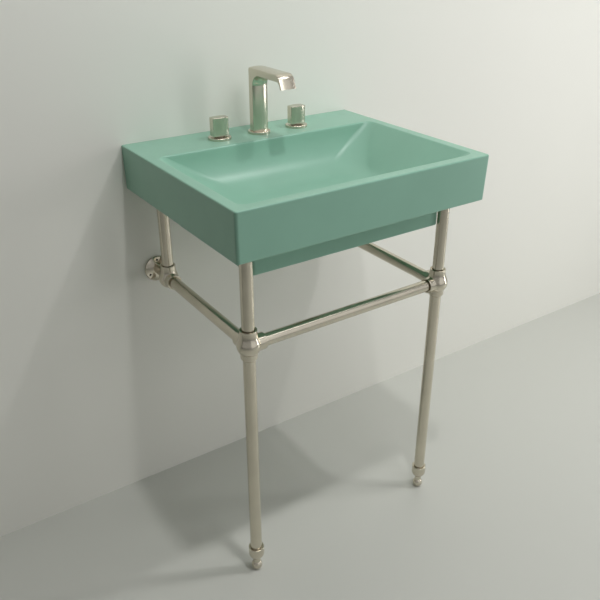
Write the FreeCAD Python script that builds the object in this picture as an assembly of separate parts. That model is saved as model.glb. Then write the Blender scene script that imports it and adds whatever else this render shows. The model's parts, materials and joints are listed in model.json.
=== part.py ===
# Rectangular wall-hung basin on a two-legged console stand, with a three-hole tap and a push waste.
# Frame: millimetres, +Z up, wall plane at y = 0, front towards -Y. The origin lies midway between
# the two wall-bolt holes, on the back face of the basin.
import FreeCAD
import Part
import math
import os

# Basin outside
BASIN_WIDTH = 603.0
BASIN_DEPTH = 493.7
APRON_HEIGHT = 98.0
APRON_DRAFT = 2.0
APRON_CORNER_RADIUS = 6.0
RIM_EDGE_RADIUS = 3.0
APRON_FOOT_RADIUS = 2.0
BOLT_DROP = 60.0

# Bowl
SIDE_RIM = 23.5
FRONT_RIM = 23.7
TAP_DECK = 129.0
BOWL_DEPTH = 90.0
SIDE_WALL_ANGLE = 43.0
REAR_WALL_ANGLE = 80.0
FRONT_WALL_ANGLE = 50.0
BOWL_RIM_CORNER = 16.0
BOWL_FLOOR_CORNER = 72.0
BOWL_FLOOR_BLEND = 60.0
BOWL_REAR_BLEND = 90.0
BOWL_LIP_RADIUS = 5.0
BLEND_STEPS = 8
WALL_STEPS = 3
FLOOR_THICKNESS = 18.0
DECK_THICKNESS = 18.0
WALL_THICKNESS = 16.0

# Skirt under the apron
SKIRT_DROP = 63.0
SKIRT_SIDE_INSET = 66.4
SKIRT_SETBACK = 65.7
SKIRT_REAR_OUT = 116.0
SKIRT_CORNER_RADIUS = 9.0
SKIRT_EDGE_RADIUS = 2.5
SKIRT_WALL = 18.0
POCKET_CORNER_RADIUS = 8.0
SIDE_POCKET_END_WALL = 21.0

# Wall bolts
WALL_BOLT_SPACING = 280.0
WALL_BOLT_RADIUS = 6.5

# Stand
RIM_HEIGHT = 904.5
RAIL_HEIGHT = 600.5
TUBE_RADIUS = 13.0
TUBE_WALL = 1.6
LEG_GAP = 0.3
LEG_SETBACK = 64.7
REAR_POST_OUT = 66.0
PAD_THICKNESS = 3.0
PAD_PLUG_LENGTH = 10.0
BALL_RADIUS = 24.4
LIP_RADIUS = 17.8
LIP_RISE = 34.4
LIP_BLEND = 40.0
SOCKET_RADIUS = 17.4
SOCKET_REACH = 33.5
SOCKET_FLOOR = 15.0
POST_SEAT_RISE = 8.0
LEG_SEAT_DROP = 5.0
BALL_CUT_DROP = 16.5
REAR_BALL_RADIUS = 22.8
REAR_LIP_RADIUS = 17.2
REAR_LIP_RISE = 33.5
REAR_SOCKET_REACH = 31.0
MOUTH_GAP = 2.2
MOUTH_DEPTH = 3.0
LIP_EDGE_RADIUS = 0.8
COLLAR_RADIUS = 17.3
COLLAR_HEIGHT = 15.5
COLLAR_LOWER_RADIUS = 13.8
COLLAR_CURVE = 7.0
COLLAR_BEND = 3.1
COLLAR_BEND_RADIUS = 16.6
GRUB_RADIUS = 2.45
LIP_SCREW_INSET = 7.0

# Feet
FERRULE_RADIUS = 17.5
FERRULE_TOP = 67.0
FERRULE_SHOULDER = 47.0
FERRULE_SEAT = 43.0
FERRULE_BOTTOM = 34.0
FERRULE_MOUTH_GAP = 1.0
FERRULE_MOUTH_DEPTH = 2.0
FERRULE_NECK_RADIUS = 9.0
FERRULE_WAIST_RADIUS = 15.1
FOOT_RADIUS = 12.35
FOOT_FLAT_RADIUS = 5.0
FOOT_NECK_RADIUS = 8.0
FOOT_STEM_RADIUS = 5.0
FOOT_STEM_LENGTH = 30.0

# Wall flanges
FLANGE_RADIUS = 31.0
FLANGE_RIM = 3.0
FLANGE_DOME = 14.0
FLANGE_SHOULDER = 10.9
FLANGE_SHOULDER_RADIUS = 22.2
FLANGE_BOSS_RADIUS = 14.0
FLANGE_BACK_WALL = 4.0
FLANGE_PCD = 46.0
FLANGE_HOLES = 3
FLANGE_HOLE_RADIUS = 2.6
FLANGE_EAR_RADIUS = 10.0
FLANGE_EAR_THICKNESS = 4.5
STEM_RADIUS = 10.5

# Tap
TAP_SPREAD = 101.6
TAP_OUT = 73.5
TAP_HOLE_RADIUS = 17.5
RING_RADIUS = 25.7
RING_HEIGHT = 6.0
RING_TOP_WALL = 1.7
RING_EDGE_RADIUS = 1.5
SEAT_RADIUS = 20.0
SEAT_THICKNESS = 4.0
SHANK_RADIUS = 14.0
SHANK_LENGTH = 60.0
INLET_RADIUS = 10.48
INLET_LENGTH = 25.0
WATERWAY_RADIUS = 5.0
WASHER_RADIUS = 23.0
WASHER_THICKNESS = 3.0
NUT_ACROSS_FLATS = 42.0
NUT_HEIGHT = 8.0
PORT_RADIUS = 8.0
PORT_REACH = 26.0
PORT_DROP = 44.0

# Handles
KNOB_WIDTH = 38.5
KNOB_SIDE_DEPTH = 18.0
KNOB_BULGE = 3.6
KNOB_CORNER_RADIUS = 3.0
KNOB_EDGE_RADIUS = 0.8
KNOB_GAP = 3.0
KNOB_HEIGHT = 39.5
KNOB_ROOF = 11.5
KNOB_CAVITY_RADIUS = 11.5
KNOB_CAVITY_DEPTH = 7.0
STEM_BORE_RADIUS = 4.0
STEM_DEPTH = 15.0
CARTRIDGE_RADIUS = 9.5
CARTRIDGE_DEPTH = 20.0
BONNET_ACROSS_FLATS = 19.6
BONNET_RISE = 14.0
KNOB_SCREW_RADIUS = 2.0
KNOB_SCREW_RISE = 19.0

# Spout
SPOUT_WIDTH = 38.8
SPOUT_SIDE_DEPTH = 15.5
SPOUT_FRONT_BOW = 4.5
SPOUT_OUTER_BOW = 2.0
SPOUT_HEIGHT = 144.0
SPOUT_ARM = 13.3
SPOUT_REACH = 124.0
SPOUT_ARCH_RADIUS = 25.0
SPOUT_SHOULDER_RADIUS = 4.0
SPOUT_NOSE_RADIUS = 18.5
SPOUT_NOSE_LEAN = 24.0
SPOUT_NOSE_DROP = 27.8
SPOUT_TIP_THICKNESS = 5.0
SPOUT_TIP_TRIM = 3.0
SPOUT_EDGE_RADIUS = 1.5
SPOUT_STUD_RADIUS = 7.5
SPOUT_STUD_LENGTH = 26.0
ARM_WATERWAY_RADIUS = 3.6
OUTLET_LENGTH = 22.0
OUTLET_WIDTH = 5.0
OUTLET_DEPTH = 8.0
AERATOR_RECESS = 1.6
AERATOR_SLITS = 7
AERATOR_SLIT_WIDTH = 1.4
AERATOR_SLIT_LENGTH = 2.6

# Waste
WASTE_HOLE_RADIUS = 23.0
WASTE_FORWARD = 12.0
WASTE_FALL = 5.0
WASTE_FALL_RADIUS = 58.0
WASTE_FLANGE_RADIUS = 32.0
WASTE_FLANGE_THICKNESS = 2.5
WASTE_SEAL_THICKNESS = 1.5
WASTE_BODY_RADIUS = 22.0
WASTE_BODY_LENGTH = 56.0
WASTE_BORE_RADIUS = 18.5
WASTE_BORE_DEPTH = 42.0
WASTE_GASKET_RADIUS = 31.0
WASTE_GASKET_THICKNESS = 4.0
WASTE_NUT_ACROSS_FLATS = 58.0
WASTE_NUT_HEIGHT = 10.0
TAILPIECE_RADIUS = 15.875
TAILPIECE_BORE_RADIUS = 14.6
TAILPIECE_THREAD_RADIUS = 17.0
TAILPIECE_SEAT = 10.0
TAILPIECE_LENGTH = 44.0
GUIDE_HEIGHT = 8.0
GUIDE_DROP = 22.0
GUIDE_HUB_RADIUS = 8.0
GUIDE_RING_WALL = 2.5
GUIDE_WEB = 3.0
GUIDE_WEBS = 3
CAP_RADIUS = 29.0
CAP_THICKNESS = 3.0
CAP_CROWN = 2.0
CAP_STEM_RADIUS = 5.0
CAP_STEM_BELOW_GUIDE = 10.0
CAP_SEAL_RADIUS = 27.0
CAP_SEAL_WALL = 3.0
CAP_SEAL_HEIGHT = 2.0

# Clearances
SLIP = 0.05
RUN = 0.05
SEAT_GAP = 0.3
TOUCH = 1e-4

# Levels and places that follow from the sizes above
RIM = BOLT_DROP
LEDGE = RIM - APRON_HEIGHT
BOWL_FLOOR = RIM - BOWL_DEPTH
FLOOR_UNDERSIDE = BOWL_FLOOR - FLOOR_THICKNESS
BASE = LEDGE - SKIRT_DROP
DECK_UNDERSIDE = RIM - DECK_THICKNESS
GROUND = RIM - RIM_HEIGHT
RAIL = GROUND + RAIL_HEIGHT
SKIRT_HALF = BASIN_WIDTH / 2 - SKIRT_SIDE_INSET
SKIRT_FRONT = SKIRT_SETBACK - BASIN_DEPTH
LEG_X = SKIRT_HALF + LEG_GAP + TUBE_RADIUS
LEG_Y = LEG_SETBACK - BASIN_DEPTH
POST_Y = -REAR_POST_OUT
TAP_Y = -TAP_OUT
WASTE_Y = (FRONT_RIM - BASIN_DEPTH - TAP_DECK) / 2 - WASTE_FORWARD
WASTE_RIM = BOWL_FLOOR - WASTE_FALL
WASTE_SEAT = WASTE_RIM - WASTE_FLANGE_THICKNESS - WASTE_SEAL_THICKNESS
SPOUT_TOP = RIM + SPOUT_HEIGHT
OUTLET_LEVEL = SPOUT_TOP - SPOUT_NOSE_DROP
OUTLET_Y = TAP_Y - SPOUT_REACH + (SPOUT_TIP_THICKNESS + SPOUT_FRONT_BOW - SPOUT_OUTER_BOW) / 2
SOCKET_BORE = TUBE_RADIUS + SLIP
UP = FreeCAD.Vector(0, 0, 1)
DOWN = FreeCAD.Vector(0, 0, -1)
RIGHT = FreeCAD.Vector(1, 0, 0)
BACK = FreeCAD.Vector(0, 1, 0)
FRONT = FreeCAD.Vector(0, -1, 0)
SIDES = (("left", -1), ("right", 1))


def point(x, y, z):
    return FreeCAD.Vector(x, y, z)


def rod(radius, start, direction, length):
    return Part.makeCylinder(radius, length, start, direction)


def tube(outer, inner, start, direction, length):
    return rod(outer, start, direction, length).cut(rod(inner, start, direction, length))


def polygon_face(points):
    return Part.Face(Part.makePolygon(points + [points[0]]))


def arc(start, middle, end):
    return Part.Arc(start, middle, end).toShape()


def line(start, end):
    return Part.LineSegment(start, end).toShape()


def turned(edges, axis_start, axis_direction):
    """Solid of revolution of a closed half-profile."""
    face = Part.Face(Part.Wire(edges))
    return face.revolve(axis_start, axis_direction, 360)


def turned_polygon(profile, centre):
    """Solid turned about the vertical through centre, from (radius, height) corners."""
    corners = [point(centre.x + radius, centre.y, centre.z + height) for radius, height in profile]
    return polygon_face(corners).revolve(centre, UP, 360)


def rounded_rectangle(low_x, high_x, low_y, high_y, radius, z):
    """Closed outline with four equal corner arcs."""
    slack = radius * (1 - math.sqrt(0.5))
    edges = [
        line(point(low_x + radius, low_y, z), point(high_x - radius, low_y, z)),
        arc(point(high_x - radius, low_y, z), point(high_x - slack, low_y + slack, z),
            point(high_x, low_y + radius, z)),
        line(point(high_x, low_y + radius, z), point(high_x, high_y - radius, z)),
        arc(point(high_x, high_y - radius, z), point(high_x - slack, high_y - slack, z),
            point(high_x - radius, high_y, z)),
        line(point(high_x - radius, high_y, z), point(low_x + radius, high_y, z)),
        arc(point(low_x + radius, high_y, z), point(low_x + slack, high_y - slack, z),
            point(low_x, high_y - radius, z)),
        line(point(low_x, high_y - radius, z), point(low_x, low_y + radius, z)),
        arc(point(low_x, low_y + radius, z), point(low_x + slack, low_y + slack, z),
            point(low_x + radius, low_y, z)),
    ]
    return Part.Wire(edges)


def apron_outline(inset, z):
    """Outline of the apron: square at the wall, rounded at the two front corners."""
    half = BASIN_WIDTH / 2 - inset
    front = inset - BASIN_DEPTH
    radius = APRON_CORNER_RADIUS
    slack = radius * (1 - math.sqrt(0.5))
    edges = [
        line(point(-half, 0, z), point(-half, front + radius, z)),
        arc(point(-half, front + radius, z), point(-half + slack, front + slack, z),
            point(-half + radius, front, z)),
        line(point(-half + radius, front, z), point(half - radius, front, z)),
        arc(point(half - radius, front, z), point(half - slack, front + slack, z),
            point(half, front + radius, z)),
        line(point(half, front + radius, z), point(half, 0, z)),
        line(point(half, 0, z), point(-half, 0, z)),
    ]
    return Part.Wire(edges)


def level_edges(shape, z, keep=None):
    """Edges that lie wholly at height z, and whose middle passes the keep test."""
    found = []
    for edge in shape.Edges:
        box = edge.BoundBox
        if abs(box.ZMin - z) < TOUCH and abs(box.ZMax - z) < TOUCH:
            if keep is None or keep(edge.CenterOfMass):
                found.append(edge)
    return found


def upright_edges(shape):
    return [edge for edge in shape.Edges if edge.BoundBox.XLength < TOUCH
            and edge.BoundBox.YLength < TOUCH]


def hexagon_bar(across_flats, base, height):
    corner = across_flats / math.sqrt(3)
    corners = []
    for index in range(6):
        angle = math.radians(60 * index + 30)
        corners.append(base + point(corner * math.cos(angle), corner * math.sin(angle), 0))
    return polygon_face(corners).extrude(UP * height)


def hexagon_nut(across_flats, bore, base, height):
    """Hexagon nut with its corners turned off at both faces."""
    corner = across_flats / math.sqrt(3)
    turn = (corner - across_flats / 2) / 2
    blank = turned_polygon([(0, 0), (corner - turn, 0), (corner, turn), (corner, height - turn),
                            (corner - turn, height), (0, height)], base)
    nut = hexagon_bar(across_flats, base, height).common(blank)
    return nut.cut(rod(bore, base, UP, height))


def export(shape, name):
    shape.exportStep("parts/" + name + ".step")


def wall_inset(angle, blend, rise):
    """How far a bowl wall has come in from the rim, at a height above the floor.

    The wall is straight at its angle, and a curve of the blend's radius, tangent to it, runs out level
    into the floor.
    """
    slope = math.radians(angle)
    if rise > blend * (1 - math.cos(slope)):
        return (BOWL_DEPTH - rise) / math.tan(slope)
    across = math.sqrt(blend ** 2 - (blend - rise) ** 2)
    return BOWL_DEPTH / math.tan(slope) + blend * math.tan(slope / 2) - across


def bowl_outline(rise):
    """Outline of the bowl at a height above its floor."""
    half = BASIN_WIDTH / 2 - SIDE_RIM - wall_inset(SIDE_WALL_ANGLE, BOWL_FLOOR_BLEND, rise)
    front = FRONT_RIM - BASIN_DEPTH + wall_inset(FRONT_WALL_ANGLE, BOWL_FLOOR_BLEND, rise)
    rear = -TAP_DECK - wall_inset(REAR_WALL_ANGLE, BOWL_REAR_BLEND, rise)
    growth = (BOWL_FLOOR_CORNER - BOWL_RIM_CORNER) * (1 - rise / BOWL_DEPTH)
    return rounded_rectangle(-half, half, front, rear, BOWL_RIM_CORNER + growth, BOWL_FLOOR + rise)


def bowl_space():
    """The space inside the bowl: sloping walls that run into the floor in a broad curve."""
    steepest = max(SIDE_WALL_ANGLE, REAR_WALL_ANGLE, FRONT_WALL_ANGLE)
    broadest = max(BOWL_FLOOR_BLEND, BOWL_REAR_BLEND)
    rises = []
    for step in range(BLEND_STEPS + 1):
        angle = math.radians(steepest * step / BLEND_STEPS)
        rises.append(broadest * (1 - math.cos(angle)))
    straight = BOWL_DEPTH - rises[-1]
    for step in range(1, WALL_STEPS + 1):
        rises.append(BOWL_DEPTH - straight * (1 - step / WALL_STEPS))
    space = Part.makeLoft([bowl_outline(rise) for rise in rises], True, False)
    centre = point(0, WASTE_Y, WASTE_RIM)
    fall = Part.makeCone(WASTE_FLANGE_RADIUS, WASTE_FALL_RADIUS, WASTE_FALL, centre, UP)
    return space.fuse(fall)


def side_pocket(sign):
    """Hollow under one sloping side wall, open below, between the front leg and the rear post."""
    slope = math.radians(SIDE_WALL_ANGLE)
    mouth = BASIN_WIDTH / 2 - SIDE_RIM
    inner = SKIRT_HALF + WALL_THICKNESS
    outer = BASIN_WIDTH / 2 - APRON_DRAFT - WALL_THICKNESS

    def ceiling(x):
        return RIM - WALL_THICKNESS / math.cos(slope) - (mouth - x) * math.tan(slope)

    near = POST_Y - TUBE_RADIUS - SIDE_POCKET_END_WALL
    far = LEG_Y + TUBE_RADIUS + SIDE_POCKET_END_WALL
    section = [(inner, LEDGE), (outer, LEDGE), (outer, ceiling(outer)), (inner, ceiling(inner))]
    corners = [point(sign * x, near, z) for x, z in section]
    return polygon_face(corners).extrude(FRONT * (near - far))


def basin():
    apron = Part.makeLoft([apron_outline(APRON_DRAFT, LEDGE), apron_outline(0, RIM)], True, True)

    def away_from_wall(centre):
        return centre.y < -TOUCH

    apron = apron.makeFillet(RIM_EDGE_RADIUS, level_edges(apron, RIM, away_from_wall))
    apron = apron.makeFillet(APRON_FOOT_RADIUS, level_edges(apron, LEDGE, away_from_wall))

    outline = rounded_rectangle(-SKIRT_HALF, SKIRT_HALF, SKIRT_FRONT, -SKIRT_REAR_OUT,
                                SKIRT_CORNER_RADIUS, BASE)
    skirt = Part.Face(outline).extrude(UP * (RIM - RIM_EDGE_RADIUS - BASE))
    skirt = skirt.makeFillet(SKIRT_EDGE_RADIUS, level_edges(skirt, BASE))
    body = apron.fuse(skirt).removeSplitter()
    body = body.cut(bowl_space())

    mouth = BASIN_WIDTH / 2 - SIDE_RIM + TOUCH
    mouth_front = FRONT_RIM - BASIN_DEPTH - TOUCH

    def round_the_bowl(centre):
        return abs(centre.x) < mouth and mouth_front < centre.y < TOUCH - TAP_DECK

    body = body.makeFillet(BOWL_LIP_RADIUS, level_edges(body, RIM, round_the_bowl))

    hollow_half = SKIRT_HALF - SKIRT_WALL
    recess = rounded_rectangle(-hollow_half, hollow_half, SKIRT_FRONT + SKIRT_WALL,
                               -SKIRT_REAR_OUT - SKIRT_WALL, POCKET_CORNER_RADIUS, BASE)
    body = body.cut(Part.Face(recess).extrude(UP * (FLOOR_UNDERSIDE - BASE)))
    pocket = rounded_rectangle(-hollow_half, hollow_half, WALL_THICKNESS - TAP_DECK, -WALL_THICKNESS,
                               POCKET_CORNER_RADIUS, BASE)
    body = body.cut(Part.Face(pocket).extrude(UP * (DECK_UNDERSIDE - BASE)))
    for sign in (-1, 1):
        body = body.cut(side_pocket(sign))
        bolt = point(sign * WALL_BOLT_SPACING / 2, 0, 0)
        body = body.cut(rod(WALL_BOLT_RADIUS, bolt, FRONT, WALL_THICKNESS))
    for x in (-TAP_SPREAD, 0, TAP_SPREAD):
        body = body.cut(rod(TAP_HOLE_RADIUS, point(x, TAP_Y, RIM), DOWN, DECK_THICKNESS))
    seat = point(0, WASTE_Y, WASTE_SEAT)
    body = body.cut(rod(WASTE_FLANGE_RADIUS + SEAT_GAP, seat, UP, WASTE_RIM - WASTE_SEAT + WASTE_FALL))
    return body.cut(rod(WASTE_HOLE_RADIUS, seat, DOWN, WASTE_SEAT - FLOOR_UNDERSIDE))


def socket_bore(centre, direction, floor, mouth):
    """Bore for a tube, with a wider mouth that shows as a dark line round the tube."""
    bore = rod(SOCKET_BORE, centre + direction * floor, direction, mouth - floor)
    relief = rod(SOCKET_BORE + MOUTH_GAP, centre + direction * (mouth - MOUTH_DEPTH), direction, MOUTH_DEPTH)
    return bore.fuse(relief)


def ball_and_lip(centre, ball_radius, lip_radius, lip_rise):
    """Ball that narrows in a broad curve to a cylindrical lip above it."""
    body = Part.makeSphere(ball_radius, centre).fuse(rod(lip_radius, centre, UP, lip_rise))
    waist = centre.z + math.sqrt(ball_radius ** 2 - lip_radius ** 2)
    body = body.makeFillet(LIP_BLEND, level_edges(body, waist))
    return body.makeFillet(LIP_EDGE_RADIUS, level_edges(body, centre.z + lip_rise))


def socket_boss(centre, direction, reach):
    boss = rod(SOCKET_RADIUS, centre, direction, reach)
    end = centre + direction * reach
    rims = [edge for edge in boss.Edges if edge.CenterOfMass.distanceToPoint(end) < TOUCH]
    return boss.makeFillet(LIP_EDGE_RADIUS, rims)


def grub_hole(centre, direction):
    return rod(GRUB_RADIUS + SLIP, centre, direction, BALL_RADIUS)


def grub_screw(centre, direction, outer):
    start = TUBE_RADIUS + SLIP
    return rod(GRUB_RADIUS, centre + direction * start, direction, outer - SEAT_GAP - start)


def corner_fitting(centre, inward):
    """Front corner: upper leg, lower leg, front rail and side rail meet in one ball."""
    body = ball_and_lip(centre, BALL_RADIUS, LIP_RADIUS, LIP_RISE)
    for direction in (inward, BACK):
        body = body.fuse(socket_boss(centre, direction, SOCKET_REACH))
    cut_radius = math.sqrt(BALL_RADIUS ** 2 - BALL_CUT_DROP ** 2)
    body = body.cut(rod(cut_radius, centre + DOWN * BALL_CUT_DROP, DOWN, BALL_RADIUS - BALL_CUT_DROP))
    body = body.cut(socket_bore(centre, UP, POST_SEAT_RISE, LIP_RISE))
    body = body.cut(rod(SOCKET_BORE, centre + DOWN * LEG_SEAT_DROP, DOWN, BALL_CUT_DROP - LEG_SEAT_DROP))
    screw = centre + UP * (LIP_RISE - LIP_SCREW_INSET)
    screws = [grub_screw(screw, BACK, LIP_RADIUS)]
    body = body.cut(grub_hole(screw, BACK))
    for direction in (inward, BACK):
        body = body.cut(socket_bore(centre, direction, SOCKET_FLOOR, SOCKET_REACH))
        screw = centre + direction * (SOCKET_REACH - LIP_SCREW_INSET)
        body = body.cut(grub_hole(screw, DOWN))
        screws.append(grub_screw(screw, DOWN, SOCKET_RADIUS))
    return body, screws


def rear_fitting(centre):
    """Rear corner: post and side rail meet in a ball, closed below, with a stem to the wall flange."""
    body = ball_and_lip(centre, REAR_BALL_RADIUS, REAR_LIP_RADIUS, REAR_LIP_RISE)
    body = body.fuse(socket_boss(centre, FRONT, REAR_SOCKET_REACH))
    stem_end = -(FLANGE_BACK_WALL + SEAT_GAP)
    body = body.fuse(rod(STEM_RADIUS, centre, BACK, stem_end - centre.y))
    body = body.cut(socket_bore(centre, UP, POST_SEAT_RISE, REAR_LIP_RISE))
    body = body.cut(socket_bore(centre, FRONT, SOCKET_FLOOR, REAR_SOCKET_REACH))
    screw = centre + UP * (REAR_LIP_RISE - LIP_SCREW_INSET)
    body = body.cut(grub_hole(screw, BACK))
    return body, [grub_screw(screw, BACK, REAR_LIP_RADIUS)]


def wall_flange(x):
    """Domed round flange with flat ears at its screw holes and a socket for the stem."""
    centre = point(x, 0, RAIL)

    def at(radius, out):
        return point(x + radius, -out, RAIL)

    shoulder = at(FLANGE_SHOULDER_RADIUS, FLANGE_SHOULDER)
    edges = [
        line(at(0, 0), at(FLANGE_RADIUS, 0)),
        line(at(FLANGE_RADIUS, 0), at(FLANGE_RADIUS, FLANGE_RIM)),
        arc(at(FLANGE_RADIUS, FLANGE_RIM), shoulder, at(FLANGE_BOSS_RADIUS, FLANGE_DOME)),
        line(at(FLANGE_BOSS_RADIUS, FLANGE_DOME), at(0, FLANGE_DOME)),
        line(at(0, FLANGE_DOME), at(0, 0)),
    ]
    flange = turned(edges, centre, BACK)
    depth = FLANGE_DOME - FLANGE_BACK_WALL
    flange = flange.cut(rod(STEM_RADIUS + SLIP, at(0, FLANGE_BACK_WALL), FRONT, depth))
    for index in range(FLANGE_HOLES):
        angle = math.radians(90 + 360 * index / FLANGE_HOLES)
        spot = point(x + FLANGE_PCD / 2 * math.cos(angle), 0, RAIL + FLANGE_PCD / 2 * math.sin(angle))
        flange = flange.cut(rod(FLANGE_EAR_RADIUS, spot + FRONT * FLANGE_EAR_THICKNESS, FRONT, FLANGE_DOME))
        flange = flange.cut(rod(FLANGE_HOLE_RADIUS, spot, FRONT, FLANGE_EAR_THICKNESS))
    return flange


def leg_collar(centre):
    """Cup-shaped collar that closes the ball from below, round the lower leg."""
    top = centre.z - BALL_CUT_DROP
    bottom = top - COLLAR_HEIGHT

    def at(radius, z):
        return point(centre.x + radius, centre.y, z)

    bend = at(COLLAR_BEND_RADIUS, bottom + COLLAR_BEND)
    edges = [
        line(at(SOCKET_BORE, top), at(COLLAR_RADIUS, top)),
        line(at(COLLAR_RADIUS, top), at(COLLAR_RADIUS, bottom + COLLAR_CURVE)),
        arc(at(COLLAR_RADIUS, bottom + COLLAR_CURVE), bend, at(COLLAR_LOWER_RADIUS, bottom)),
        line(at(COLLAR_LOWER_RADIUS, bottom), at(SOCKET_BORE, bottom)),
        line(at(SOCKET_BORE, bottom), at(SOCKET_BORE, top)),
    ]
    return turned(edges, centre, UP)


def foot_ferrule(x):
    """Cup that holds the leg's lower end and the thread of the foot."""
    base = point(x, LEG_Y, GROUND)

    def at(radius, rise):
        return base + point(radius, 0, rise)

    bulge = at(FERRULE_WAIST_RADIUS, (FERRULE_SHOULDER + FERRULE_BOTTOM) / 2)
    hole = FOOT_STEM_RADIUS + RUN
    mouth = SOCKET_BORE + FERRULE_MOUTH_GAP
    mouth_floor = FERRULE_TOP - FERRULE_MOUTH_DEPTH
    edges = [
        line(at(hole, FERRULE_BOTTOM), at(FERRULE_NECK_RADIUS, FERRULE_BOTTOM)),
        arc(at(FERRULE_NECK_RADIUS, FERRULE_BOTTOM), bulge, at(FERRULE_RADIUS, FERRULE_SHOULDER)),
        line(at(FERRULE_RADIUS, FERRULE_SHOULDER), at(FERRULE_RADIUS, FERRULE_TOP)),
        line(at(FERRULE_RADIUS, FERRULE_TOP), at(mouth, FERRULE_TOP)),
        line(at(mouth, FERRULE_TOP), at(mouth, mouth_floor)),
        line(at(mouth, mouth_floor), at(SOCKET_BORE, mouth_floor)),
        line(at(SOCKET_BORE, mouth_floor), at(SOCKET_BORE, FERRULE_SEAT)),
        line(at(SOCKET_BORE, FERRULE_SEAT), at(hole, FERRULE_SEAT)),
        line(at(hole, FERRULE_SEAT), at(hole, FERRULE_BOTTOM)),
    ]
    cup = turned(edges, base, UP)
    rim = [edge for edge in level_edges(cup, GROUND + FERRULE_TOP)
           if edge.BoundBox.XLength > 2 * FERRULE_RADIUS - TOUCH]
    return cup.makeFillet(LIP_EDGE_RADIUS, rim)


def foot(x):
    """Ball foot with a flat underneath, a neck and a threaded stem."""
    base = point(x, LEG_Y, GROUND)
    rise = math.sqrt(FOOT_RADIUS ** 2 - FOOT_FLAT_RADIUS ** 2)
    ball = Part.makeSphere(FOOT_RADIUS, base + UP * rise)
    ball = ball.cut(rod(FOOT_RADIUS, base, DOWN, FOOT_RADIUS))
    neck_top = FERRULE_BOTTOM - SEAT_GAP
    neck = rod(FOOT_NECK_RADIUS, base + UP * rise, UP, neck_top - rise)
    stem = rod(FOOT_STEM_RADIUS, base + UP * rise, UP, neck_top + FOOT_STEM_LENGTH - rise)
    return ball.fuse(neck).fuse(stem)


def leg_pad(x, y):
    """End cap of a tube, with the flat pad that bears on the basin's ledge."""
    top = point(x, y, LEDGE)
    pad = rod(TUBE_RADIUS, top, DOWN, PAD_THICKNESS)
    plug = rod(TUBE_RADIUS - TUBE_WALL - SLIP, top, DOWN, PAD_THICKNESS + PAD_PLUG_LENGTH)
    return pad.fuse(plug)


def stand_tube(start, direction, length):
    return tube(TUBE_RADIUS, TUBE_RADIUS - TUBE_WALL, start, direction, length)


def export_stand():
    pads = []
    screws = []
    tube_top = LEDGE - PAD_THICKNESS
    for side, sign in SIDES:
        x = sign * LEG_X
        corner = point(x, LEG_Y, RAIL)
        rear = point(x, POST_Y, RAIL)
        fitting, fitting_screws = corner_fitting(corner, RIGHT * -sign)
        export(fitting, side + "_corner_fitting")
        screws += fitting_screws
        fitting, fitting_screws = rear_fitting(rear)
        export(fitting, side + "_rear_fitting")
        screws += fitting_screws
        seat = RAIL + POST_SEAT_RISE
        export(stand_tube(point(x, LEG_Y, seat), UP, tube_top - seat), side + "_upper_leg")
        export(stand_tube(point(x, POST_Y, seat), UP, tube_top - seat), side + "_rear_post")
        leg_bottom = GROUND + FERRULE_SEAT
        leg_length = RAIL - LEG_SEAT_DROP - leg_bottom
        export(stand_tube(point(x, LEG_Y, leg_bottom), UP, leg_length), side + "_lower_leg")
        rail_start = rear + FRONT * SOCKET_FLOOR
        rail_length = POST_Y - LEG_Y - 2 * SOCKET_FLOOR
        export(stand_tube(rail_start, FRONT, rail_length), side + "_side_rail")
        export(leg_collar(corner), side + "_leg_collar")
        export(foot_ferrule(x), side + "_foot_ferrule")
        export(foot(x), side + "_foot")
        export(wall_flange(x), side + "_wall_flange")
        pads += [leg_pad(x, LEG_Y), leg_pad(x, POST_Y)]
    front_start = point(SOCKET_FLOOR - LEG_X, LEG_Y, RAIL)
    export(stand_tube(front_start, RIGHT, 2 * (LEG_X - SOCKET_FLOOR)), "front_rail")
    export(Part.makeCompound(pads), "leg_pads")
    export(Part.makeCompound(screws), "fitting_screws")


def base_ring(x, hole):
    """Round cover ring on the tap deck, hollow underneath over the seat of what it covers."""
    base = point(x, TAP_Y, RIM)
    ring = rod(RING_RADIUS, base, UP, RING_HEIGHT)
    ring = ring.makeFillet(RING_EDGE_RADIUS, level_edges(ring, RIM + RING_HEIGHT))
    ring = ring.cut(rod(SEAT_RADIUS + SEAT_GAP, base, UP, RING_HEIGHT - RING_TOP_WALL))
    return ring.cut(rod(hole, base, UP, RING_HEIGHT))


def deck_washer(x):
    top = point(x, TAP_Y, DECK_UNDERSIDE)
    return tube(WASHER_RADIUS, SHANK_RADIUS + SLIP, top, DOWN, WASHER_THICKNESS)


def deck_nut(x):
    base = point(x, TAP_Y, DECK_UNDERSIDE - WASHER_THICKNESS - NUT_HEIGHT)
    return hexagon_nut(NUT_ACROSS_FLATS, SHANK_RADIUS + SLIP, base, NUT_HEIGHT)


def deck_shank(x):
    """Seat on the deck, threaded shank through it and the smaller inlet thread below."""
    base = point(x, TAP_Y, RIM)
    shank = rod(SEAT_RADIUS, base, UP, SEAT_THICKNESS)
    shank = shank.fuse(rod(SHANK_RADIUS, base, DOWN, SHANK_LENGTH))
    return shank.fuse(rod(INLET_RADIUS, base + DOWN * SHANK_LENGTH, DOWN, INLET_LENGTH))


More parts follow.
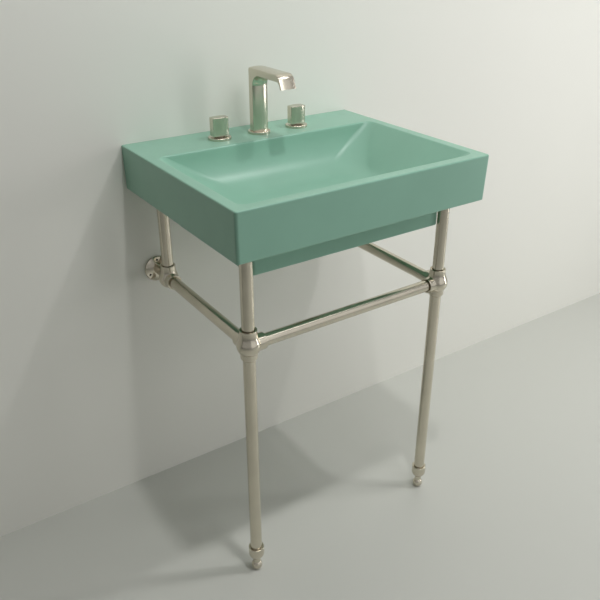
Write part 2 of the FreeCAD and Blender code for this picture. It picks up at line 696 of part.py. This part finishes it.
def valve_body(x, sign):
    """Valve housing: cartridge bore above, supply inlet below, outlet port towards the spout."""
    base = point(x, TAP_Y, RIM)
    body = deck_shank(x)
    port = base + DOWN * PORT_DROP
    body = body.fuse(rod(PORT_RADIUS, port, RIGHT * -sign, PORT_REACH))
    body = body.cut(rod(WATERWAY_RADIUS, port, RIGHT * -sign, PORT_REACH))
    floor = base + DOWN * CARTRIDGE_DEPTH
    body = body.cut(rod(CARTRIDGE_RADIUS + SLIP, floor, UP, CARTRIDGE_DEPTH + SEAT_THICKNESS))
    return body.cut(rod(WATERWAY_RADIUS, floor, DOWN, SHANK_LENGTH + INLET_LENGTH - CARTRIDGE_DEPTH))


def cartridge(x):
    """Ceramic-disc cartridge with a hexagon bonnet that rests on the valve's seat."""
    seat = point(x, TAP_Y, RIM + SEAT_THICKNESS)
    length = CARTRIDGE_DEPTH + SEAT_THICKNESS - SEAT_GAP
    body = rod(CARTRIDGE_RADIUS, seat, DOWN, length)
    body = body.fuse(hexagon_bar(BONNET_ACROSS_FLATS, seat, BONNET_RISE - SEAT_THICKNESS))
    top = point(x, TAP_Y, RIM + BONNET_RISE)
    return body.cut(rod(STEM_BORE_RADIUS + RUN, top, DOWN, BONNET_RISE + STEM_DEPTH + SEAT_GAP))


def knob_stem(x):
    bottom = point(x, TAP_Y, RIM - STEM_DEPTH)
    top = RIM + RING_HEIGHT + KNOB_GAP + KNOB_HEIGHT - KNOB_ROOF - SEAT_GAP
    return rod(STEM_BORE_RADIUS, bottom, UP, top - bottom.z)


def knob(x):
    """Upright bar knob: flat ends, gently bowed front and back, rounded upright corners."""
    z = RIM + RING_HEIGHT + KNOB_GAP
    half = KNOB_WIDTH / 2
    depth = KNOB_SIDE_DEPTH / 2

    def at(along, across):
        return point(x + along, TAP_Y + across, z)

    edges = [
        arc(at(-half, -depth), at(0, -depth - KNOB_BULGE), at(half, -depth)),
        line(at(half, -depth), at(half, depth)),
        arc(at(half, depth), at(0, depth + KNOB_BULGE), at(-half, depth)),
        line(at(-half, depth), at(-half, -depth)),
    ]
    bar = Part.Face(Part.Wire(edges)).extrude(UP * KNOB_HEIGHT)
    bar = bar.makeFillet(KNOB_CORNER_RADIUS, upright_edges(bar))
    bar = bar.makeFillet(KNOB_EDGE_RADIUS, level_edges(bar, z + KNOB_HEIGHT))
    centre = point(x, TAP_Y, z)
    bar = bar.cut(rod(KNOB_CAVITY_RADIUS, centre, UP, KNOB_CAVITY_DEPTH))
    bar = bar.cut(rod(STEM_BORE_RADIUS + SLIP, centre, UP, KNOB_HEIGHT - KNOB_ROOF))
    return bar.cut(rod(KNOB_SCREW_RADIUS + SLIP, centre + UP * KNOB_SCREW_RISE, BACK, KNOB_SIDE_DEPTH))


def knob_screw(x):
    centre = point(x, TAP_Y, RIM + RING_HEIGHT + KNOB_GAP + KNOB_SCREW_RISE)
    start = STEM_BORE_RADIUS + SLIP
    return rod(KNOB_SCREW_RADIUS, centre + BACK * start, BACK, KNOB_SIDE_DEPTH / 2 - start)


def outlet_slot(length, width, low, high):
    """Slot with round ends that follows the nose's lean, between two heights above the outlet."""
    straight = length - width
    outlet = point(0, OUTLET_Y, OUTLET_LEVEL)
    base = outlet + UP * low
    slot = Part.makeBox(straight, width, high - low, base + point(-straight / 2, -width / 2, 0), UP)
    for sign in (-1, 1):
        slot = slot.fuse(rod(width / 2, base + RIGHT * (sign * straight / 2), UP, high - low))
    slot = slot.removeSplitter()
    slot.rotate(outlet, RIGHT, -SPOUT_NOSE_LEAN)
    return slot


def bow(centre, out, rise):
    """Circular segment across the spout, with its chord through centre and bowed outwards by rise."""
    half = RIGHT * (SPOUT_WIDTH / 2)
    curve = arc(centre - half, centre + out * rise, centre + half)
    return Part.Face(Part.Wire([curve, line(centre + half, centre - half)]))


def bowed_side(start, heading, out, rise, legs):
    """One side of the spout from its foot to its tip: the profile's edges, and the bow on each of them.

    A leg is a straight length or a bend of (radius, degrees). A negative radius bends towards out.
    """
    edges = []
    bows = []
    here = start
    for leg in legs:
        section = bow(here, out, rise)
        if isinstance(leg, tuple):
            radius, degrees = leg
            centre = here - out * radius
            half_turn = FreeCAD.Rotation(RIGHT, degrees / 2)
            middle = centre + half_turn.multVec(here - centre)
            end = centre + half_turn.multVec(middle - centre)
            edges.append(arc(here, middle, end))
            bows.append(section.revolve(centre, RIGHT, degrees))
            heading = half_turn.multVec(half_turn.multVec(heading))
            out = half_turn.multVec(half_turn.multVec(out))
        else:
            end = here + heading * leg
            edges.append(line(here, end))
            bows.append(section.extrude(heading * leg))
        here = end
    return edges, bows, here


def spout_bar():
    """Upright column, level arm and a nose that turns down, with bowed faces between flat sides."""
    foot = RIM + RING_HEIGHT
    under = SPOUT_TOP - SPOUT_ARM
    lean = math.radians(SPOUT_NOSE_LEAN)
    tip = TAP_Y - SPOUT_REACH
    bend_end = SPOUT_TOP - SPOUT_NOSE_RADIUS * (1 - math.sin(lean))
    nose_length = (bend_end - OUTLET_LEVEL) / math.cos(lean)
    bend_y = tip + nose_length * math.sin(lean) + SPOUT_NOSE_RADIUS * math.cos(lean)
    back = point(0, TAP_Y + SPOUT_SIDE_DEPTH / 2, foot)
    outer_legs = [
        SPOUT_HEIGHT - RING_HEIGHT - SPOUT_SHOULDER_RADIUS,
        (SPOUT_SHOULDER_RADIUS, 90),
        back.y - SPOUT_SHOULDER_RADIUS - bend_y,
        (SPOUT_NOSE_RADIUS, 90 - SPOUT_NOSE_LEAN),
        nose_length + SPOUT_TIP_TRIM / math.cos(lean),
    ]
    outer_edges, outer_bows, outer_end = bowed_side(back, UP, BACK, SPOUT_OUTER_BOW, outer_legs)

    front = point(0, TAP_Y - SPOUT_SIDE_DEPTH / 2, foot)
    inner_radius = under - OUTLET_LEVEL
    inner_y = tip + SPOUT_TIP_THICKNESS + inner_radius
    inner_legs = [
        under - SPOUT_ARCH_RADIUS - foot,
        (-SPOUT_ARCH_RADIUS, 90),
        front.y - SPOUT_ARCH_RADIUS - inner_y,
        (-inner_radius, 90),
        SPOUT_TIP_TRIM,
    ]
    inner_edges, inner_bows, inner_end = bowed_side(front, UP, FRONT, SPOUT_FRONT_BOW, inner_legs)

    ends = [line(outer_end, inner_end)]
    outline = outer_edges + ends + inner_edges[::-1] + [line(front, back)]
    flat = Part.Face(Part.Wire(outline))
    flat.translate(RIGHT * (-SPOUT_WIDTH / 2))
    bar = flat.extrude(RIGHT * SPOUT_WIDTH)
    for piece in outer_bows + inner_bows:
        bar = bar.fuse(piece)
    below = OUTLET_LEVEL - SPOUT_TIP_TRIM * 2
    corner = point(-SPOUT_WIDTH, tip - SPOUT_ARM, below)
    trim = Part.makeBox(2 * SPOUT_WIDTH, SPOUT_REACH / 2, OUTLET_LEVEL - below, corner, UP)
    bar = bar.cut(trim).removeSplitter()

    def long_edge(edge):
        box = edge.BoundBox
        at_side = box.XLength < TOUCH and abs(abs(box.XMin) - SPOUT_WIDTH / 2) < TOUCH
        at_end = box.ZLength < TOUCH and min(abs(box.ZMin - foot), abs(box.ZMin - OUTLET_LEVEL)) < TOUCH
        return at_side and not at_end

    return bar.makeFillet(SPOUT_EDGE_RADIUS, [edge for edge in bar.Edges if long_edge(edge)])


def spout_body():
    """The spout's bar with the bore for its stud, the waterway and the outlet slot."""
    foot = point(0, TAP_Y, RIM + RING_HEIGHT)
    axis = SPOUT_TOP - SPOUT_ARM / 2
    outlet = point(0, OUTLET_Y, OUTLET_LEVEL)
    stud_depth = SEAT_THICKNESS + SPOUT_STUD_LENGTH + SEAT_GAP - RING_HEIGHT
    turn_y = TAP_Y - SPOUT_REACH + SPOUT_NOSE_RADIUS
    turn = point(0, turn_y, axis)
    fall = turn - outlet
    hollows = [
        rod(SPOUT_STUD_RADIUS + SLIP, foot, UP, stud_depth),
        rod(WATERWAY_RADIUS, foot, UP, axis - foot.z),
        rod(ARM_WATERWAY_RADIUS, point(0, TAP_Y, axis), FRONT, TAP_Y - turn_y),
        rod(ARM_WATERWAY_RADIUS, outlet, fall, fall.Length),
        outlet_slot(OUTLET_LENGTH, OUTLET_WIDTH, -OUTLET_WIDTH, OUTLET_DEPTH),
    ]
    body = spout_bar()
    for hollow in hollows:
        body = body.cut(hollow)
    return body


def aerator():
    """Slotted outlet insert: a frame with slits through it, held up inside the nose."""
    insert = outlet_slot(OUTLET_LENGTH - 2 * SLIP, OUTLET_WIDTH - 2 * SLIP, AERATOR_RECESS, OUTLET_DEPTH)
    outlet = point(0, OUTLET_Y, OUTLET_LEVEL)
    pitch = (OUTLET_LENGTH - OUTLET_WIDTH) / (AERATOR_SLITS - 1)
    for index in range(AERATOR_SLITS):
        x = (index - (AERATOR_SLITS - 1) / 2) * pitch
        corner = outlet + point(x - AERATOR_SLIT_WIDTH / 2, -AERATOR_SLIT_LENGTH / 2, 0)
        slit = Part.makeBox(AERATOR_SLIT_WIDTH, AERATOR_SLIT_LENGTH, OUTLET_DEPTH, corner, UP)
        slit.rotate(outlet, RIGHT, -SPOUT_NOSE_LEAN)
        insert = insert.cut(slit)
    return insert


def spout_shank():
    base = point(0, TAP_Y, RIM)
    shank = deck_shank(0)
    shank = shank.fuse(rod(SPOUT_STUD_RADIUS, base, UP, SEAT_THICKNESS + SPOUT_STUD_LENGTH))
    length = SHANK_LENGTH + INLET_LENGTH + SEAT_THICKNESS + SPOUT_STUD_LENGTH
    return shank.cut(rod(WATERWAY_RADIUS, base + DOWN * (SHANK_LENGTH + INLET_LENGTH), UP, length))


def export_tap():
    bonnet_corner = BONNET_ACROSS_FLATS / math.sqrt(3)
    for side, sign in SIDES:
        x = sign * TAP_SPREAD
        export(base_ring(x, bonnet_corner + SEAT_GAP), side + "_base_ring")
        export(valve_body(x, sign), side + "_valve_body")
        export(deck_washer(x), side + "_valve_washer")
        export(deck_nut(x), side + "_valve_nut")
        export(cartridge(x), side + "_cartridge")
        export(knob_stem(x), side + "_stem")
        export(knob(x), side + "_knob")
        export(knob_screw(x), side + "_knob_screw")
    export(base_ring(0, SPOUT_STUD_RADIUS + SLIP), "spout_base_ring")
    export(spout_body(), "spout_body")
    export(aerator(), "aerator")
    export(spout_shank(), "spout_shank")
    export(deck_washer(0), "spout_washer")
    export(deck_nut(0), "spout_nut")


def waste_body():
    """Flanged waste: flange in the bowl's seat, threaded barrel and a socket for the tailpiece."""
    top = point(0, WASTE_Y, WASTE_RIM)
    body = rod(WASTE_FLANGE_RADIUS, top, DOWN, WASTE_FLANGE_THICKNESS)
    body = body.fuse(rod(WASTE_BODY_RADIUS, top, DOWN, WASTE_BODY_LENGTH))
    body = body.cut(rod(WASTE_BORE_RADIUS, top, DOWN, WASTE_BORE_DEPTH))
    body = body.cut(rod(TAILPIECE_BORE_RADIUS, top, DOWN, WASTE_BODY_LENGTH))
    socket = top + DOWN * WASTE_BODY_LENGTH
    return body.cut(rod(TAILPIECE_THREAD_RADIUS + SLIP, socket, UP, TAILPIECE_SEAT))


def waste_guide():
    """Ring pressed in the waste's bore, with webs to a hub that guides the cap's stem."""
    top = point(0, WASTE_Y, WASTE_RIM - GUIDE_DROP)
    outer = WASTE_BORE_RADIUS - SLIP
    guide = tube(outer, outer - GUIDE_RING_WALL, top, DOWN, GUIDE_HEIGHT)
    guide = guide.fuse(rod(GUIDE_HUB_RADIUS, top, DOWN, GUIDE_HEIGHT))
    reach = outer - GUIDE_RING_WALL / 2
    for index in range(GUIDE_WEBS):
        web = Part.makeBox(reach, GUIDE_WEB, GUIDE_HEIGHT, top + point(0, -GUIDE_WEB / 2, -GUIDE_HEIGHT), UP)
        web.rotate(top, UP, 360 * index / GUIDE_WEBS)
        guide = guide.fuse(web)
    return guide.cut(rod(CAP_STEM_RADIUS + RUN, top, DOWN, GUIDE_HEIGHT))


def waste_cap():
    """Crowned push cap with a guided stem."""
    seat = WASTE_RIM + CAP_SEAL_HEIGHT + SEAT_GAP
    centre = point(0, WASTE_Y, seat)
    crown_radius = (CAP_RADIUS ** 2 + CAP_CROWN ** 2) / (2 * CAP_CROWN)
    crown = CAP_THICKNESS + CAP_CROWN
    ball = Part.makeSphere(crown_radius, centre + UP * (crown - crown_radius))
    cap = rod(CAP_RADIUS, centre, UP, crown).common(ball)
    length = seat - WASTE_RIM + GUIDE_DROP + GUIDE_HEIGHT + CAP_STEM_BELOW_GUIDE
    return cap.fuse(rod(CAP_STEM_RADIUS, centre, DOWN, length))


def tailpiece():
    """Pipe to the trap, with a wider threaded end in the waste's socket."""
    top = point(0, WASTE_Y, WASTE_RIM - WASTE_BODY_LENGTH + TAILPIECE_SEAT)
    pipe = rod(TAILPIECE_RADIUS, top, DOWN, TAILPIECE_LENGTH)
    pipe = pipe.fuse(rod(TAILPIECE_THREAD_RADIUS, top, DOWN, TAILPIECE_SEAT))
    return pipe.cut(rod(TAILPIECE_BORE_RADIUS, top, DOWN, TAILPIECE_LENGTH))


def export_waste():
    top = point(0, WASTE_Y, WASTE_SEAT)
    export(waste_body(), "waste_body")
    seal_bore = WASTE_BODY_RADIUS + SLIP
    export(tube(WASTE_FLANGE_RADIUS, seal_bore, top, UP, WASTE_SEAL_THICKNESS), "waste_seal")
    underside = point(0, WASTE_Y, FLOOR_UNDERSIDE)
    gasket = tube(WASTE_GASKET_RADIUS, seal_bore, underside, DOWN, WASTE_GASKET_THICKNESS)
    export(gasket, "waste_gasket")
    nut_base = underside + DOWN * (WASTE_GASKET_THICKNESS + WASTE_NUT_HEIGHT)
    export(hexagon_nut(WASTE_NUT_ACROSS_FLATS, seal_bore, nut_base, WASTE_NUT_HEIGHT), "waste_nut")
    export(waste_guide(), "waste_guide")
    export(waste_cap(), "waste_cap")
    seal_base = point(0, WASTE_Y, WASTE_RIM + SEAT_GAP)
    seal_inner = CAP_SEAL_RADIUS - CAP_SEAL_WALL
    export(tube(CAP_SEAL_RADIUS, seal_inner, seal_base, UP, CAP_SEAL_HEIGHT), "waste_cap_seal")
    export(tailpiece(), "tailpiece")


os.makedirs("parts", exist_ok=True)
export(basin(), "basin")
export_stand()
export_tap()
export_waste()
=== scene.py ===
import json
import math

import bpy
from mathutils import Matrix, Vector


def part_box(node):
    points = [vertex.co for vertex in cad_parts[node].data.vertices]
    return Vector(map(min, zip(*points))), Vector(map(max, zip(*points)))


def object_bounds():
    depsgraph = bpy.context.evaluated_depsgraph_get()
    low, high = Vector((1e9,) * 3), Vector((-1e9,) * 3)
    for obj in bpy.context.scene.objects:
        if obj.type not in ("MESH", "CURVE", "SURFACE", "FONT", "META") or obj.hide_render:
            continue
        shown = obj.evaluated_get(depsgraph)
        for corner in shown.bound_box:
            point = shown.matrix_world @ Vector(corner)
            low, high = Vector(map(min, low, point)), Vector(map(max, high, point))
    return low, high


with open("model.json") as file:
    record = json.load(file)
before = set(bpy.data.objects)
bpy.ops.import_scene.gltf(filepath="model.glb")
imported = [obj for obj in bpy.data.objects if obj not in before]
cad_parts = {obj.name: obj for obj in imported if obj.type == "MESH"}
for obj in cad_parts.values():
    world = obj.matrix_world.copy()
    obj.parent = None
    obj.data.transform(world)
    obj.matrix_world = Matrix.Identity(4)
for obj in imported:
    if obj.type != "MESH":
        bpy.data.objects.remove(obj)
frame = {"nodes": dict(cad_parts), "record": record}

cad_bounds = [list(corner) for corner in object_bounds()]

MM = 0.001

# The feet stand on the floor, and the wall lies just behind the basin's back face
FLOOR_Z = cad_bounds[0][2]
WALL_Y = 0.0008
WALL_HEIGHT = 4.0
ROOM_REACH = 9.0
HIDDEN_EDGE = 0.004

# Dark discs, painted shade for the inside of the flange screw holes, lie between the wall and the
# flanges
HOLE_Y = WALL_Y / 2
HOLE_SIDES = 24
FIRST_HOLE_TURN = 90.0

# Colours, linear
FIRECLAY = (0.275, 0.512, 0.394)
NICKEL = (0.640, 0.595, 0.495)
BRASS = (0.560, 0.380, 0.155)
RUBBER = (0.018, 0.018, 0.019)
PLASTIC = (0.060, 0.060, 0.062)
FLOOR = (0.632, 0.640, 0.593)
WALL = (0.910, 0.905, 0.840)
# Painted shade: near-black for the discs that stand in for the dark inside the flange screw holes
PAINTED_HOLE_SHADE = (0.020, 0.020, 0.020)
BACKDROP = (0.70, 0.70, 0.68)

# How much of the backdrop reflections show, where the camera sees all of it
MIRRORED_SHARE = 0.45

FLOOR_ROUGHNESS = 0.32
WALL_ROUGHNESS = 0.6
HOLE_ROUGHNESS = 0.9

# The photo's camera, in metres, degrees and millimetres
CAMERA_PLACE = (-0.84028, -1.48234, 0.47999)
CAMERA_DOWN = 27.45
CAMERA_TURN = -34.06
CAMERA_LENS = 43.34
CAMERA_SENSOR = 36.0
CAMERA_NEAR = 0.01

# The point that every lamp faces
LIT_POINT = Vector((0.0, -0.25, 0.0))


class Nodes:
    """A material's node tree, with short calls for the nodes used here."""

    def __init__(self, name):
        self.material = bpy.data.materials.new(name)
        self.material.use_nodes = True
        self.tree = self.material.node_tree
        self.tree.nodes.clear()
        self.output = self.tree.nodes.new("ShaderNodeOutputMaterial")
        self.shader = self.tree.nodes.new("ShaderNodeBsdfPrincipled")
        self.link(self.shader.outputs[0], self.output.inputs["Surface"])
        self.place = self.tree.nodes.new("ShaderNodeTexCoord").outputs["Object"]

    def link(self, source, target):
        self.tree.links.new(source, target)

    def feed(self, name, source):
        """Link a node's output to one of the shader's inputs."""
        self.link(source, self.shader.inputs[name])

    def set(self, **values):
        """Set the shader's inputs, with an underscore for each space in a name."""
        for key, value in values.items():
            self.shader.inputs[key.replace("_", " ")].default_value = value

    def noise(self, scale, detail=2.0, roughness=0.5):
        node = self.tree.nodes.new("ShaderNodeTexNoise")
        node.inputs["Scale"].default_value = scale
        node.inputs["Detail"].default_value = detail
        node.inputs["Roughness"].default_value = roughness
        self.link(self.place, node.inputs["Vector"])
        return node.outputs["Fac"]

    def bands(self, scale, distortion):
        node = self.tree.nodes.new("ShaderNodeTexWave")
        node.wave_type = "BANDS"
        node.bands_direction = "Z"
        node.wave_profile = "TRI"
        node.inputs["Scale"].default_value = scale
        node.inputs["Distortion"].default_value = distortion
        self.link(self.place, node.inputs["Vector"])
        return node.outputs["Fac"]

    def shades(self, factor, colour, dark, light):
        """Run between two shades of a colour, each with its place on the factor and its brightness."""
        node = self.tree.nodes.new("ShaderNodeValToRGB")
        for element, (position, brightness) in zip(node.color_ramp.elements, (dark, light)):
            element.position = position
            element.color = (*(channel * brightness for channel in colour), 1.0)
        self.link(factor, node.inputs["Fac"])
        return node.outputs["Color"]

    def spread(self, factor, low, high):
        node = self.tree.nodes.new("ShaderNodeMapRange")
        node.inputs["To Min"].default_value = low
        node.inputs["To Max"].default_value = high
        self.link(factor, node.inputs["Value"])
        return node.outputs["Result"]

    def bump(self, height, strength, distance, normal=None):
        node = self.tree.nodes.new("ShaderNodeBump")
        node.inputs["Strength"].default_value = strength
        node.inputs["Distance"].default_value = distance
        self.link(height, node.inputs["Height"])
        if normal is not None:
            self.link(normal, node.inputs["Normal"])
        return node.outputs["Normal"]


def fireclay():
    """Satin glaze: faint clouding, a fine orange-peel surface and uneven gloss."""
    n = Nodes("satin_fireclay")
    clouds = n.noise(scale=7.0, detail=4.0, roughness=0.55)
    n.feed("Base Color", n.shades(clouds, FIRECLAY, dark=(0.30, 0.965), light=(0.70, 1.035)))
    n.feed("Roughness", n.spread(n.noise(scale=38.0, detail=3.0), low=0.31, high=0.39))
    peel = n.bump(n.noise(scale=210.0), strength=0.06, distance=0.0006)
    n.feed("Normal", n.bump(n.noise(scale=16.0, detail=1.0), strength=0.02, distance=0.004, normal=peel))
    n.set(IOR=1.5)
    return n.material


def nickel():
    """Warm nickel, finely brushed: uneven gloss and short faint scratches."""
    n = Nodes("satin_nickel")
    clouds = n.noise(scale=24.0, detail=3.0)
    n.feed("Base Color", n.shades(clouds, NICKEL, dark=(0.30, 0.95), light=(0.70, 1.04)))
    grain = n.noise(scale=900.0, roughness=0.6)
    n.feed("Roughness", n.spread(grain, low=0.17, high=0.27))
    n.feed("Normal", n.bump(grain, strength=0.05, distance=0.00012))
    n.set(Metallic=1.0)
    return n.material


def brass():
    """Machined brass with fine turning marks."""
    n = Nodes("machined_brass")
    marks = n.bands(scale=620.0, distortion=0.4)
    clouds = n.noise(scale=60.0, detail=4.0)
    n.feed("Base Color", n.shades(clouds, BRASS, dark=(0.30, 0.86), light=(0.72, 1.10)))
    n.feed("Roughness", n.spread(n.noise(scale=150.0, detail=3.0), low=0.22, high=0.36))
    n.feed("Normal", n.bump(marks, strength=0.35, distance=0.0004))
    n.set(Metallic=1.0)
    return n.material


def rubber():
    """Black moulded rubber."""
    n = Nodes("black_rubber")
    clouds = n.noise(scale=90.0, detail=4.0)
    n.feed("Base Color", n.shades(clouds, RUBBER, dark=(0.25, 0.75), light=(0.75, 1.5)))
    n.feed("Roughness", n.spread(n.noise(scale=220.0), low=0.62, high=0.82))
    n.feed("Normal", n.bump(n.noise(scale=700.0), strength=0.12, distance=0.0003))
    return n.material


def plastic():
    """Dark moulded plastic with a fine grain."""
    n = Nodes("dark_plastic")
    clouds = n.noise(scale=50.0, detail=3.0)
    n.feed("Base Color", n.shades(clouds, PLASTIC, dark=(0.30, 0.8), light=(0.70, 1.25)))
    n.feed("Roughness", n.spread(n.noise(scale=300.0), low=0.42, high=0.58))
    n.feed("Normal", n.bump(n.noise(scale=800.0), strength=0.10, distance=0.0002))
    return n.material


def plain(name, colour, roughness):
    """One even colour, for the stage."""
    n = Nodes(name)
    n.set(Base_Color=(*colour, 1.0), Roughness=roughness)
    return n


def one_sided(n):
    """Let every ray through from behind, so that a wall hides nothing from the back."""
    clear = n.tree.nodes.new("ShaderNodeBsdfTransparent")
    mix = n.tree.nodes.new("ShaderNodeMixShader")
    n.link(n.tree.nodes.new("ShaderNodeNewGeometry").outputs["Backfacing"], mix.inputs["Fac"])
    n.link(n.shader.outputs[0], mix.inputs[1])
    n.link(clear.outputs[0], mix.inputs[2])
    n.link(mix.outputs[0], n.output.inputs["Surface"])
    return n


def dress():
    """Give every solid the material of its slot."""
    looks = {
        "fireclay": fireclay(),
        "nickel": nickel(),
        "brass": brass(),
        "rubber": rubber(),
        "plastic": plastic(),
    }
    slots = {part["node"]: part["material_slot"] for part in frame["record"]["subparts"]}
    for name, piece in frame["nodes"].items():
        piece.data.materials.clear()
        piece.data.materials.append(looks[slots[name]])


def sheet(name, corners, faces, look):
    """Add a flat piece of the stage."""
    mesh = bpy.data.meshes.new(name)
    mesh.from_pydata(corners, [], faces)
    mesh.materials.append(look.material)
    thing = bpy.data.objects.new(name, mesh)
    bpy.context.scene.collection.objects.link(thing)


def floor():
    sides = ((-1, -1), (1, -1), (1, 1), (-1, 1))
    corners = [(ROOM_REACH * x, ROOM_REACH * y, FLOOR_Z) for x, y in sides]
    sheet("floor", corners, [(0, 1, 2, 3)], plain("pale_floor", FLOOR, FLOOR_ROUGHNESS))


def wall():
    """A wall with an opening behind the basin, where nothing of it shows from the front."""
    low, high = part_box("basin")
    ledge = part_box("leg_pads")[1][2]
    columns = (-ROOM_REACH, low[0] + HIDDEN_EDGE, high[0] - HIDDEN_EDGE, ROOM_REACH)
    rows = (FLOOR_Z, ledge + HIDDEN_EDGE, high[2] - HIDDEN_EDGE, FLOOR_Z + WALL_HEIGHT)
    opening = (1, 1)
    corners = [(x, WALL_Y, z) for z in rows for x in columns]
    step = len(columns)
    faces = []
    for row in range(len(rows) - 1):
        for column in range(len(columns) - 1):
            if (row, column) != opening:
                first = row * step + column
                faces.append((first, first + 1, first + step + 1, first + step))
    sheet("wall", corners, faces, one_sided(plain("pale_wall", WALL, WALL_ROUGHNESS)))


def around(centre, radius, count, first_turn=0.0):
    """Points spaced evenly on a circle that stands parallel to the wall."""
    turns = [math.radians(first_turn + 360 * index / count) for index in range(count)]
    return [centre + radius * Vector((math.cos(turn), 0.0, math.sin(turn))) for turn in turns]


def painted_hole_shades():
    """Near-black discs on the wall behind the flange screw holes: painted shade for the holes' dark
    inside.
    """
    # Painted shade: each disc is a flat dark sheet, not a real hole
    dark = one_sided(plain("painted_hole_shade", PAINTED_HOLE_SHADE, HOLE_ROUGHNESS))
    for mount in frame["record"]["mounts"]:
        dims = mount["dims"]
        if "pcd_mm" not in dims:
            continue
        middle = Vector(mount["pos_m"])
        middle.y = HOLE_Y
        for centre in around(middle, MM * dims["pcd_mm"] / 2, dims["count"], FIRST_HOLE_TURN):
            rim = around(centre, MM * dims["hole_r_mm"], HOLE_SIDES)
            sheet("painted_hole_shade", rim, [tuple(range(HOLE_SIDES))], dark)


def lamp(name, place, width, height, power):
    """Add an area lamp that faces the basin and stays out of the picture."""
    light = bpy.data.lights.new(name, "AREA")
    light.shape = "RECTANGLE"
    light.size = width
    light.size_y = height
    light.energy = power
    thing = bpy.data.objects.new(name, light)
    thing.location = place
    thing.rotation_euler = (LIT_POINT - Vector(place)).to_track_quat("-Z", "Y").to_euler()
    thing.visible_camera = False
    bpy.context.scene.collection.objects.link(thing)


def light_room():
    """Two small keys above, softboxes in front, a bright strip that the metal mirrors, and fills."""
    lamp("key_right", (1.08, -1.05, 2.34), width=0.12, height=0.12, power=12.5)
    lamp("key_left", (-0.13, -1.03, 2.34), width=0.12, height=0.12, power=15.0)
    lamp("softbox_above", (1.15, -1.10, 2.34), width=0.9, height=0.9, power=5.5)
    lamp("softbox_high", (0.35, -2.35, 2.10), width=1.0, height=1.0, power=11.0)
    lamp("softbox_front", (0.90, -3.00, 0.80), width=3.0, height=3.0, power=11.5)
    lamp("strip_right", (1.95, -1.25, 0.10), width=0.25, height=1.7, power=11.0)
    lamp("fill_right", (2.20, -0.60, 0.60), width=1.2, height=1.6, power=3.5)
    lamp("fill_left", (-1.67, -0.98, 1.23), width=1.0, height=1.0, power=0.5)
    lamp("fill_back", (0.0, 2.0, 0.8), width=1.6, height=1.6, power=20.0)


def surroundings():
    """A pale backdrop that the camera sees, and reflections more dimly, and that lights nothing else."""
    world = bpy.data.worlds.new("studio")
    world.use_nodes = True
    tree = world.node_tree
    unlit = tree.nodes["Background"]
    unlit.inputs["Strength"].default_value = 0.0
    pale = tree.nodes.new("ShaderNodeBackground")
    pale.inputs["Color"].default_value = (*BACKDROP, 1.0)
    rays = tree.nodes.new("ShaderNodeLightPath")
    share = tree.nodes.new("ShaderNodeMath")
    share.operation = "MULTIPLY_ADD"
    share.inputs[1].default_value = MIRRORED_SHARE
    mix = tree.nodes.new("ShaderNodeMixShader")
    tree.links.new(rays.outputs["Is Glossy Ray"], share.inputs[0])
    tree.links.new(rays.outputs["Is Camera Ray"], share.inputs[2])
    tree.links.new(share.outputs[0], mix.inputs["Fac"])
    tree.links.new(unlit.outputs[0], mix.inputs[1])
    tree.links.new(pale.outputs[0], mix.inputs[2])
    tree.links.new(mix.outputs[0], tree.nodes["World Output"].inputs["Surface"])
    bpy.context.scene.world = world


def camera():
    data = bpy.data.cameras.new("photo_view")
    data.sensor_width = CAMERA_SENSOR
    data.lens = CAMERA_LENS
    data.clip_start = CAMERA_NEAR
    thing = bpy.data.objects.new("photo_view", data)
    thing.location = CAMERA_PLACE
    thing.rotation_euler = (math.radians(90 - CAMERA_DOWN), 0.0, math.radians(CAMERA_TURN))
    bpy.context.scene.collection.objects.link(thing)
    bpy.context.scene.camera = thing


dress()
floor()
wall()
painted_hole_shades()
light_room()
surroundings()
camera()
bpy.context.scene.view_settings.view_transform = "Standard"
